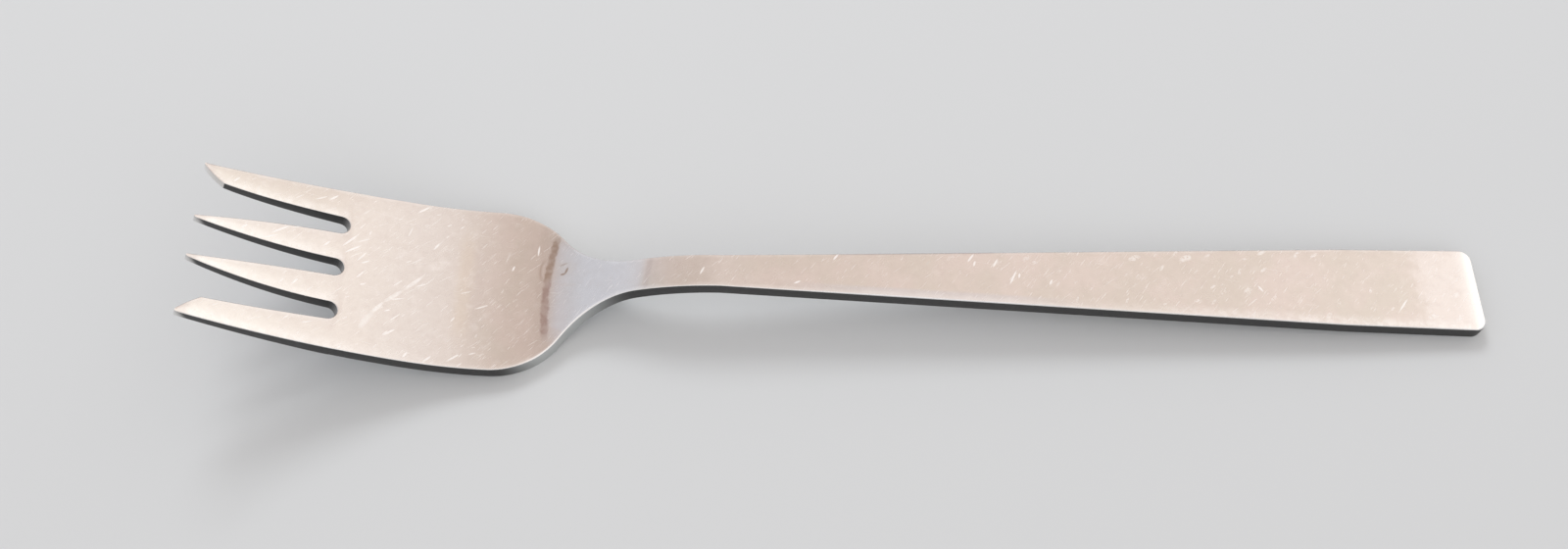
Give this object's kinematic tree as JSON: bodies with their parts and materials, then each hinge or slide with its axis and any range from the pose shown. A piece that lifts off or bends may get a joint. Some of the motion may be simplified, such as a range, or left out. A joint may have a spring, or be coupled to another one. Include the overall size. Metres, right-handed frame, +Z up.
{
  "type": "pastry fork",
  "caption": "One-piece stainless pastry fork: broad hollow-curved head with slotted pointed tines, narrow rising neck and a flat tapered handle with a square end.",
  "frame": {"origin": "on the table under the middle of the fork's length and width, as it lies on its heel and its handle end", "axes": "+X along the fork towards the handle end, +Y across it, +Z up from the table"},
  "size_m": [0.15, 0.021, 0.0158],
  "materials": {
    "steel": "satin stainless steel, worn, with fine scratches"
  },
  "bodies": {
    "root": {"handle": "steel", "neck": "steel", "heel": "steel", "back": "steel", "root": "steel", "tine_1": "steel", "tine_2": "steel", "tine_3": "steel", "tine_4": "steel"}
  },
  "joints": []
}
